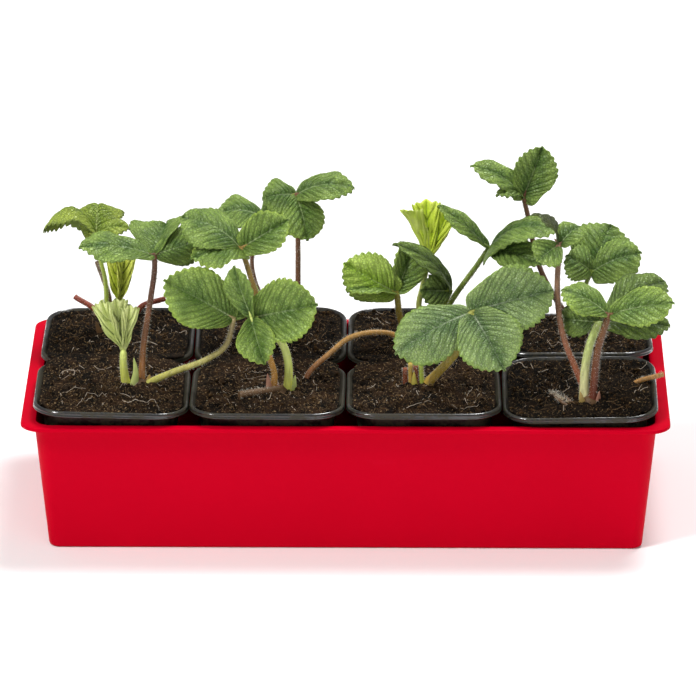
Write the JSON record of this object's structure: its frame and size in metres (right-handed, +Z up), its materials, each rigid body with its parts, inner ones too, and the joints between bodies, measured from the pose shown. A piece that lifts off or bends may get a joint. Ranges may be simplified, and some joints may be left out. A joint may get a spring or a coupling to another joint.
{
  "type": "trough of potted strawberry plants",
  "caption": "Long tapered plastic trough holding two rows of square nursery pots, each with peat and a young strawberry plant whose toothed three-part leaves stand on hairy stalks.",
  "frame": {"origin": "centre of the trough's flat underside", "axes": "+Z up, +X along the trough to the right as the picture shows it, +Y from the front row of pots to the back row"},
  "size_m": [0.3728, 0.184, 0.1984],
  "materials": {
    "red_plastic": "satin moulded polypropylene",
    "black_plastic": "thin vacuum-formed polystyrene with a glossy rim",
    "peat": "loose dark fibrous peat",
    "stem": "soft hairy stalk",
    "leaf": "matte leaf, pleated along its side veins",
    "pale_leaf": "matte young leaf",
    "cut_stem": "dry red-brown runner"
  },
  "bodies": {
    "root": {"trough": "red_plastic", "pot_a": "black_plastic", "peat_a": "peat", "stems_a": "stem", "leaf_a_fan": "pale_leaf", "leaf_a_tall": "leaf", "leaf_a_reaching": "leaf", "pot_b": "black_plastic", "peat_b": "peat", "stems_b": "stem", "leaf_b_broad": "leaf", "leaf_b_high": "leaf", "pot_c": "black_plastic", "peat_c": "peat", "stems_c": "stem", "leaf_c_broad": "leaf", "pot_d": "black_plastic", "peat_d": "peat", "stems_d": "stem", "leaf_d_high": "leaf", "leaf_d_bright": "leaf", "leaf_d_low": "leaf", "pot_e": "black_plastic", "peat_e": "peat", "stems_e": "stem", "leaf_e_umbrella": "pale_leaf", "leaf_e_bud": "pale_leaf", "pot_f": "black_plastic", "peat_f": "peat", "stems_f": "stem", "leaf_f_high": "leaf", "leaf_f_back": "leaf", "pot_g": "black_plastic", "peat_g": "peat", "stems_g": "stem", "leaf_g_pale": "pale_leaf", "leaf_g_fan": "pale_leaf", "leaf_g_wide": "leaf", "leaf_g_arching": "leaf", "pot_h": "black_plastic", "peat_h": "peat", "stems_h": "stem", "leaf_h_top": "leaf", "leaf_h_round": "leaf", "cut_stem_left": "cut_stem", "cut_stem_right": "cut_stem", "cut_stem_edge": "cut_stem", "runner": "cut_stem"}
  },
  "joints": []
}
